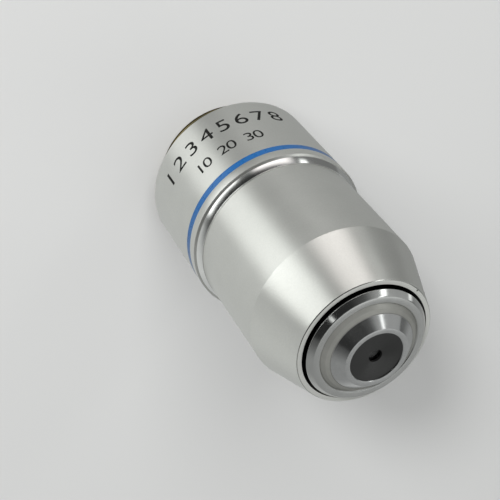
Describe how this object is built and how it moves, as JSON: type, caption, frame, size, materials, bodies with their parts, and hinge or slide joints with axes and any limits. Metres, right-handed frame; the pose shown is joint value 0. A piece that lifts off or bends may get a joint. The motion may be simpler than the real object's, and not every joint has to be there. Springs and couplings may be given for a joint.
{
  "type": "microscope objective",
  "caption": "Spring-loaded microscope objective with a threaded rear mount, a satin barrel with one blue ring, a conical sleeve and a stepped polished nose.",
  "frame": {"origin": "on the optical axis in the plane of the mounting shoulder", "axes": "+Z along the optical axis towards the nose; the engraved side faces -Y"},
  "size_m": [0.0252, 0.0252, 0.0484],
  "materials": {
    "black_lacquer": "matt black lacquer on turned brass",
    "blue_enamel": "enamel filled groove",
    "optical_glass": "polished and coated",
    "polished_nickel": "polished plate",
    "satin_chrome": "satin chrome plate on brass",
    "spring_steel": "drawn spring wire",
    "turned_brass": "turned brass"
  },
  "bodies": {
    "barrel": {"rear_barrel": "satin_chrome", "colour_ring": "blue_enamel", "parfocal_ring": "polished_nickel", "front_sleeve": "satin_chrome", "thrust_washer": "turned_brass", "coil_spring": "spring_steel"},
    "nose": {"inner_tube": "turned_brass", "guide_pin": "spring_steel", "nose_cap": "polished_nickel", "front_cell": "polished_nickel", "front_mask": "black_lacquer", "front_lens": "optical_glass", "meniscus_cell": "black_lacquer", "meniscus_lens": "optical_glass", "front_spacer": "black_lacquer", "front_doublet_cell": "black_lacquer", "front_doublet_flint": "optical_glass", "front_doublet_crown": "optical_glass", "middle_spacer": "black_lacquer", "middle_doublet_cell": "black_lacquer", "middle_doublet_flint": "optical_glass", "middle_doublet_crown": "optical_glass", "long_spacer": "black_lacquer", "rear_lens_cell": "black_lacquer", "rear_lens_flint": "optical_glass", "rear_lens_crown": "optical_glass", "rear_stop": "black_lacquer", "retaining_ring": "black_lacquer"}
  },
  "joints": [
    {"name": "nose_retract", "type": "slide", "parent": "barrel", "child": "nose", "axis": [0, 0, -1], "range_m": [0, 0.0025], "stiffness_N_per_m": 400, "springref_m": -0.008, "deforming": ["coil_spring"]}
  ]
}
